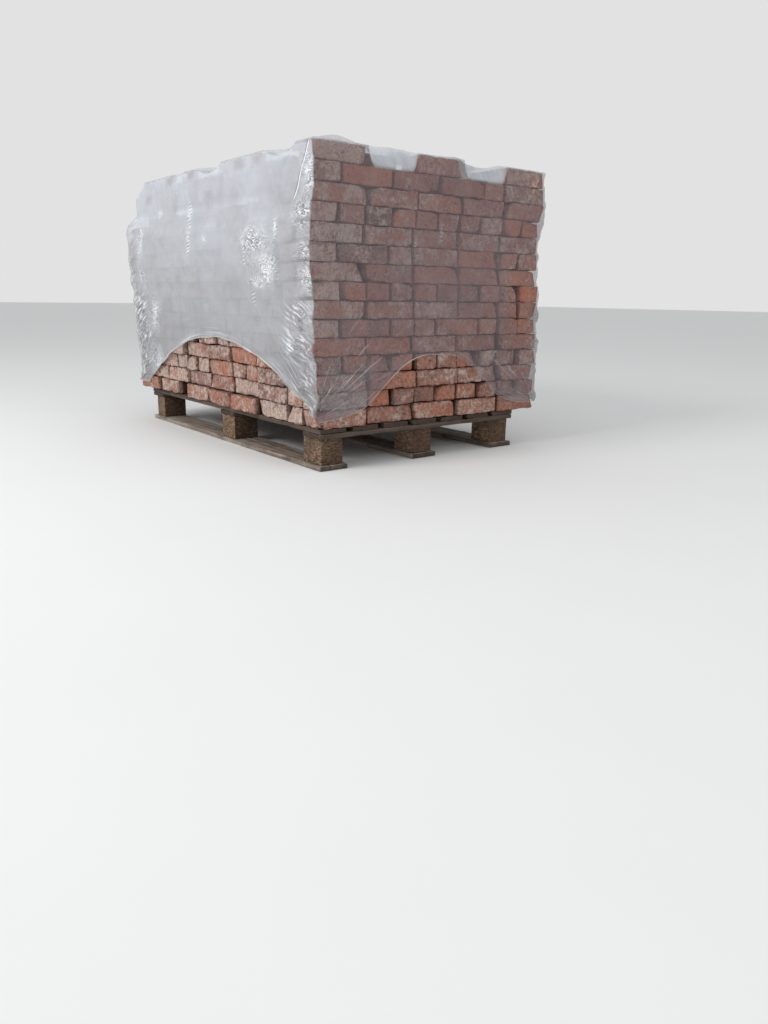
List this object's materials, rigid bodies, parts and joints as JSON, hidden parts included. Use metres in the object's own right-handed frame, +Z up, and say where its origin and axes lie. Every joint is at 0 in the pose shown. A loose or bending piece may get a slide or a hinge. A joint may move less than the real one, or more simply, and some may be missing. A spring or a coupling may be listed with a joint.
{
  "type": "pallet of bricks",
  "caption": "Reclaimed bricks stacked dry in courses on a wooden block pallet, held under clear stretch film that arches up between its corners.",
  "frame": {"origin": "middle of the pallet's middle skid, on its underside, where it stands on the floor", "axes": "+Z up; X along the pallet's long side, +X towards the end where the stack is flush with the pallet; -Y is the front long side"},
  "size_m": [1.3806, 0.9506, 0.9351],
  "materials": {
    "brick": "fired clay, worn, with grey and lime-stained faces",
    "board_wood": "rough sawn, weathered grey-brown",
    "block_wood": "rough sawn end grain and sides, brown",
    "film": "clear stretch film, creased and glossy"
  },
  "bodies": {
    "root": {"block_back_centre": "block_wood", "block_back_left": "block_wood", "block_back_right": "block_wood", "block_front_centre": "block_wood", "block_front_left": "block_wood", "block_front_right": "block_wood", "block_middle_centre": "block_wood", "block_middle_left": "block_wood", "block_middle_right": "block_wood", "brick_core": "brick", "brick_course_01": "brick", "brick_course_02": "brick", "brick_course_03": "brick", "brick_course_04": "brick", "brick_course_05": "brick", "brick_course_06": "brick", "brick_course_07": "brick", "brick_course_08": "brick", "brick_course_09": "brick", "brick_course_10": "brick", "brick_course_11": "brick", "brick_course_12": "brick", "brick_course_13": "brick", "brick_course_14": "brick", "brick_course_15": "brick", "deck_board_1": "board_wood", "deck_board_2": "board_wood", "deck_board_3": "board_wood", "deck_board_4": "board_wood", "deck_board_5": "board_wood", "deck_board_6": "board_wood", "deck_board_7": "board_wood", "skid_back": "board_wood", "skid_front": "board_wood", "skid_middle": "board_wood", "stretch_film": "film", "stringer_centre": "board_wood", "stringer_left": "board_wood", "stringer_right": "board_wood"}
  },
  "joints": []
}
